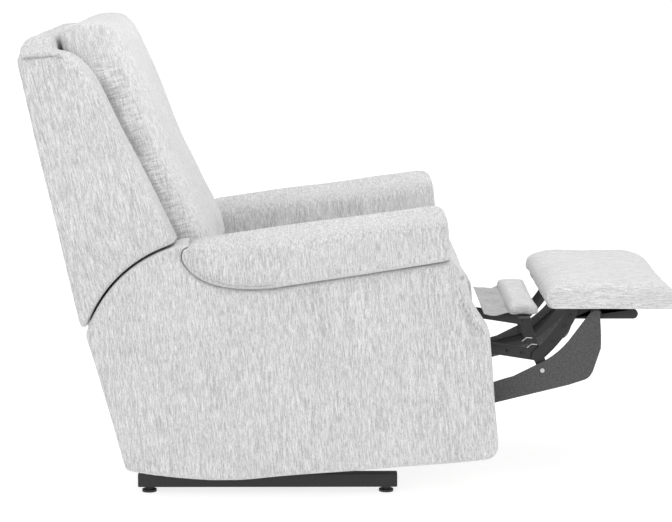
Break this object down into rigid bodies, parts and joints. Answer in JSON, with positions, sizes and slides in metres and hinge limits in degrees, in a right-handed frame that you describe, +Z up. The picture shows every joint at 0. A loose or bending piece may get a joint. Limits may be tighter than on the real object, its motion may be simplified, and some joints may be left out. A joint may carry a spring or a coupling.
{
  "type": "recliner armchair",
  "caption": "Upholstered recliner armchair with a reclining winged back, rolled arms and a folding footrest on a linkage, standing on a low black base with levelling feet.",
  "frame": {"origin": "floor, under the middle of the chair's box with the footrest out", "axes": "+X towards the footrest, +Y towards the sitter's left arm, +Z up"},
  "size_m": [1.4753, 0.8, 1.0669],
  "materials": {
    "upholstery": "pale grey heathered weave",
    "timber": "planed, unfinished",
    "link_steel": "black, semi-gloss",
    "base_paint": "black, satin",
    "spring_wire": "drawn wire",
    "bright_screw": "zinc plated",
    "cover_paint": "dark grey, speckled",
    "foot_plastic": "black",
    "black_plastic": "black",
    "grey_plastic": "grey"
  },
  "bodies": {
    "base": {"base_rail_left": "base_paint", "base_rail_right": "base_paint", "base_cross_front": "base_paint", "base_cross_rear": "base_paint", "tilt_bracket_left": "base_paint", "tilt_bracket_right": "base_paint"},
    "front_left_foot": {"foot_front_left": "foot_plastic"},
    "front_right_foot": {"foot_front_right": "foot_plastic"},
    "rear_left_foot": {"foot_rear_left": "foot_plastic"},
    "rear_right_foot": {"foot_rear_right": "foot_plastic"},
    "seat": {"side_plate_left": "link_steel", "side_plate_right": "link_steel", "seat_rail_front": "timber", "seat_rail_rear": "timber", "seat_springs": "spring_wire", "seat_cushion": "upholstery", "side_panel_left": "upholstery", "side_panel_right": "upholstery", "arm_box_left": "timber", "arm_box_right": "timber", "arm_front_left": "upholstery", "arm_front_right": "upholstery", "arm_roll_left": "upholstery", "arm_roll_right": "upholstery", "rear_panel": "upholstery", "actuator_rail": "link_steel", "actuator_motor": "black_plastic", "control_plate": "grey_plastic", "power_inlet": "black_plastic", "front_flap": "upholstery"},
    "back": {"wing_left": "upholstery", "wing_right": "upholstery", "outside_back": "upholstery", "back_top_border": "upholstery", "back_stile_left": "link_steel", "back_stile_right": "link_steel", "back_rail_top": "timber", "back_rail_bottom": "timber", "back_springs": "spring_wire", "back_cushion": "upholstery"},
    "drive": {"drive_tube": "link_steel", "drive_link_left": "link_steel", "drive_link_right": "link_steel"},
    "drive_carriage": {"drive_block": "link_steel"},
    "long_links": {"long_link_left": "link_steel", "long_link_right": "link_steel", "cover_plate_left": "cover_paint", "cover_plate_right": "cover_paint", "cover_screws": "bright_screw"},
    "upper_links": {"upper_link_left": "link_steel", "upper_link_right": "link_steel", "mid_pad_bracket": "link_steel", "mid_pad": "upholstery"},
    "footrest": {"footrest_rail_left": "link_steel", "footrest_rail_right": "link_steel", "footrest_board": "timber", "footrest_pad": "upholstery"},
    "recline_button": {"recline_button": "black_plastic"},
    "return_button": {"return_button": "black_plastic"}
  },
  "joints": [
    {"name": "body_tilt", "type": "hinge", "parent": "base", "child": "seat", "pos_m": [-0.19398, 0, 0.12], "axis": [0, 1, 0], "range_deg": [0, 4.8]},
    {"name": "back_recline", "type": "hinge", "parent": "seat", "child": "back", "pos_m": [-0.31143, 0, 0.28776], "axis": [0, -1, 0], "range_deg": [0, 30]},
    {"name": "footrest_drive", "type": "hinge", "parent": "seat", "child": "drive", "pos_m": [0.03416, 0, 0.33183], "axis": [0, 1, 0], "range_deg": [0, 79.9], "deforming": ["front_flap"]},
    {"name": "link_fold", "type": "hinge", "parent": "drive", "child": "long_links", "pos_m": [0.28015, 0, 0.20999], "axis": [0, 1, 0], "range_deg": [-79.92, 0.02]},
    {"name": "footrest_turn", "type": "hinge", "parent": "long_links", "child": "footrest", "pos_m": [0.54237, 0, 0.39759], "axis": [0, 1, 0], "range_deg": [-0.02, 85.22]},
    {"name": "upper_swing", "type": "hinge", "parent": "seat", "child": "upper_links", "pos_m": [0.20623, 0, 0.33223], "axis": [0, 1, 0], "range_deg": [-0.02, 114.6]},
    {"name": "carriage_slide", "type": "slide", "parent": "seat", "child": "drive_carriage", "axis": [-0.9965, 0, -0.0837], "range_m": [-0.0001, 0.08999]},
    {"name": "recline_button_press", "type": "slide", "parent": "seat", "child": "recline_button", "axis": [0, -1, 0], "range_m": [0, 0.0025], "stiffness_N_per_m": 400, "springref_m": -0.002},
    {"name": "return_button_press", "type": "slide", "parent": "seat", "child": "return_button", "axis": [0, -1, 0], "range_m": [0, 0.0025], "stiffness_N_per_m": 400, "springref_m": -0.002},
    {"name": "front_left_foot_turn", "type": "hinge", "parent": "base", "child": "front_left_foot", "pos_m": [0.06802, 0.29, 0], "axis": [0, 0, 1], "continuous": true},
    {"name": "front_right_foot_turn", "type": "hinge", "parent": "base", "child": "front_right_foot", "pos_m": [0.06802, -0.29, 0], "axis": [0, 0, 1], "continuous": true},
    {"name": "rear_left_foot_turn", "type": "hinge", "parent": "base", "child": "rear_left_foot", "pos_m": [-0.46798, 0.29, 0], "axis": [0, 0, 1], "continuous": true},
    {"name": "rear_right_foot_turn", "type": "hinge", "parent": "base", "child": "rear_right_foot", "pos_m": [-0.46798, -0.29, 0], "axis": [0, 0, 1], "continuous": true}
  ],
  "couplings": [
    {"joint": "link_fold", "follows": "footrest_drive", "ratio": -1},
    {"joint": "footrest_turn", "follows": "footrest_drive", "ratio": 1.0664},
    {"joint": "upper_swing", "follows": "footrest_drive", "ratio": 1.4341},
    {"joint": "carriage_slide", "follows": "footrest_drive", "m_per_rad": 0.064465}
  ]
}
